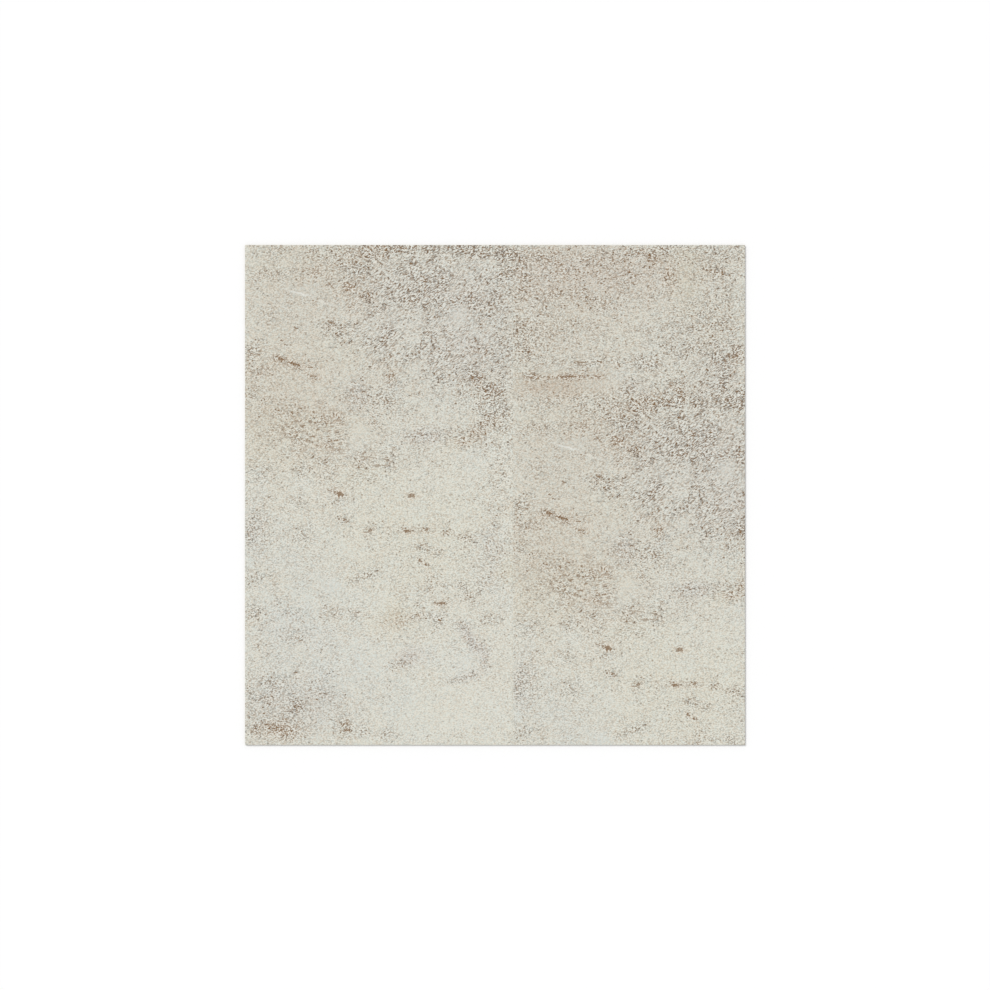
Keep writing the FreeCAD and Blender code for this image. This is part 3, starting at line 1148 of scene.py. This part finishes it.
bumps = add_node(
    tree, "ShaderNodeBump", strength=DRAG_BUMP, distance=DRAG_DEPTH, height=drag_and_chalk
)
shader = add_node(
    tree, "ShaderNodeBsdfPrincipled", base_color=core, roughness=EDGE_ROUGHNESS, ior=VINYL_IOR,
    normal=bumps.outputs["Normal"],
)
add_node(tree, "ShaderNodeOutputMaterial", surface=shader.outputs["BSDF"])

# Calendered vinyl back, sanded for the glue. It gives the eye an even warm grey
# with straight scratches and a faint cloudiness from the filler. Real scratches
# are about 0.2 mm wide, and are drawn 2.6 mm apart so that they show.
BACK_TINT = "B0AA9C"
BACK_DARK = "8A8476"
SANDING_SCRATCH = 2.6 * MM
SCRATCH_STRETCH = 60
SCRATCH_FAINT = 0.36
SCRATCH_DEEP = 0.64
CLOUDING = 60 * MM
CLOUDING_SHARE = 0.4
SCRATCH_DEPTH = 0.05 * MM
SCRATCH_BUMP = 0.3
BACK_ROUGHNESS = 0.8

sanded_back, tree = new_material("sanded_vinyl_back")
place = add_node(tree, "ShaderNodeTexCoord").outputs["Object"]
along_belt = add_node(
    tree, "ShaderNodeMapping", {"vector_type": "TEXTURE"}, vector=place,
    scale=(1, SCRATCH_STRETCH, 1),
).outputs["Vector"]
scratches = add_node(
    tree, "ShaderNodeTexNoise", vector=along_belt, scale=1 / SANDING_SCRATCH,
    detail=2, roughness=0.6,
).outputs["Fac"]
sanded = add_node(
    tree, "ShaderNodeMapRange", value=scratches, from_min=SCRATCH_FAINT, from_max=SCRATCH_DEEP
).outputs["Result"]
clouding = add_node(
    tree, "ShaderNodeTexNoise", vector=place, scale=1 / CLOUDING, detail=3, roughness=0.6
).outputs["Fac"]
both = add_node(
    tree, "ShaderNodeMix", {"data_type": "FLOAT"}, factor=CLOUDING_SHARE, a=sanded, b=clouding
).outputs[0]
backing = add_node(
    tree, "ShaderNodeMix", {"data_type": "RGBA"}, factor=both,
    a=linear(BACK_DARK), b=linear(BACK_TINT),
).outputs[2]
bumps = add_node(
    tree, "ShaderNodeBump", strength=SCRATCH_BUMP, distance=SCRATCH_DEPTH, height=scratches
)
shader = add_node(
    tree, "ShaderNodeBsdfPrincipled", base_color=backing, roughness=BACK_ROUGHNESS, ior=VINYL_IOR,
    normal=bumps.outputs["Normal"],
)
add_node(tree, "ShaderNodeOutputMaterial", surface=shader.outputs["BSDF"])

# The wear layer covers the face, the joint and the eased rim.
finishes = [wear_face, cut_edge, sanded_back]
for finish in finishes:
    tile.data.materials.append(finish)
for face in tile.data.polygons:
    if face.center.z < SAME_PLACE:
        face.material_index = finishes.index(sanded_back)
    elif face.center.z < face_height - RIM_EASING:
        face.material_index = finishes.index(cut_edge)

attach(tile, "root")
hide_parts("tile")

# The studio: a white sheet under the tile, which keeps its thin shadow, an even
# overcast light and one broad lamp to the far left that shows the relief.
FLOOR_SIZE = 12
PAPER_TINT = "D8D8D8"
WHITE = "FFFFFF"


def seen_as_white(tree):
    """1 for what the camera sees, straight or in a glossy or clear surface, and else 0."""
    rays = add_node(tree, "ShaderNodeLightPath").outputs
    seen = rays["Is Camera Ray"]
    for ray in ("Is Glossy Ray", "Is Transmission Ray"):
        seen = add_node(
            tree, "ShaderNodeMath", {"operation": "MAXIMUM"}, value__0=seen, value__1=rays[ray]
        ).outputs["Value"]
    return seen


bpy.ops.object.select_all(action="DESELECT")
bpy.ops.mesh.primitive_plane_add(size=FLOOR_SIZE, location=middle)
floor = bpy.context.object
floor.name = "white_sheet"
paper, tree = new_material("matt_white_paper")
paper_colour = add_node(
    tree, "ShaderNodeMix", {"data_type": "RGBA"}, factor=seen_as_white(tree),
    a=linear(PAPER_TINT), b=linear(WHITE),
).outputs[2]
shader = add_node(tree, "ShaderNodeBsdfDiffuse", color=paper_colour)
add_node(tree, "ShaderNodeOutputMaterial", surface=shader.outputs["BSDF"])
floor.data.materials.append(paper)

SKY_LEVEL = 0.63
world = bpy.data.worlds.new("overcast")
bpy.context.scene.world = world
world.use_nodes = True
tree = world.node_tree
tree.nodes.clear()
sky_level = add_node(
    tree, "ShaderNodeMix", {"data_type": "FLOAT"}, factor=seen_as_white(tree), a=SKY_LEVEL, b=1.0
).outputs[0]
sky = add_node(tree, "ShaderNodeBackground", color=linear(WHITE), strength=sky_level)
add_node(tree, "ShaderNodeOutputWorld", surface=sky.outputs["Background"])

LAMP_DIRECTION = Vector((0.46, -0.46, -0.76))
LAMP_SPREAD = math.radians(25)
LAMP_LEVEL = 1.55
bpy.ops.object.light_add(type="SUN", location=-LAMP_DIRECTION)
lamp = bpy.context.object
lamp.name = "broad_lamp"
lamp.data.angle = LAMP_SPREAD
lamp.data.energy = LAMP_LEVEL
lamp.rotation_mode = "QUATERNION"
lamp.rotation_quaternion = LAMP_DIRECTION.to_track_quat("-Z", "Y")

# The camera looks straight down, with the far edge at the top, and sees 990
# pixels where the tile takes 500.
PICTURE_SIDE = 990
TILE_IN_PICTURE = 500
LENS = 100
SENSOR = 36
seen_width = tile_width * PICTURE_SIDE / TILE_IN_PICTURE
bpy.ops.object.camera_add(
    location=(0, 0, face_height + seen_width * LENS / SENSOR), rotation=(0, 0, 0)
)
camera = bpy.context.object
camera.name = "camera_from_above"
camera.data.lens = LENS
camera.data.sensor_width = SENSOR
bpy.context.scene.camera = camera
bpy.context.scene.view_settings.view_transform = "Standard"
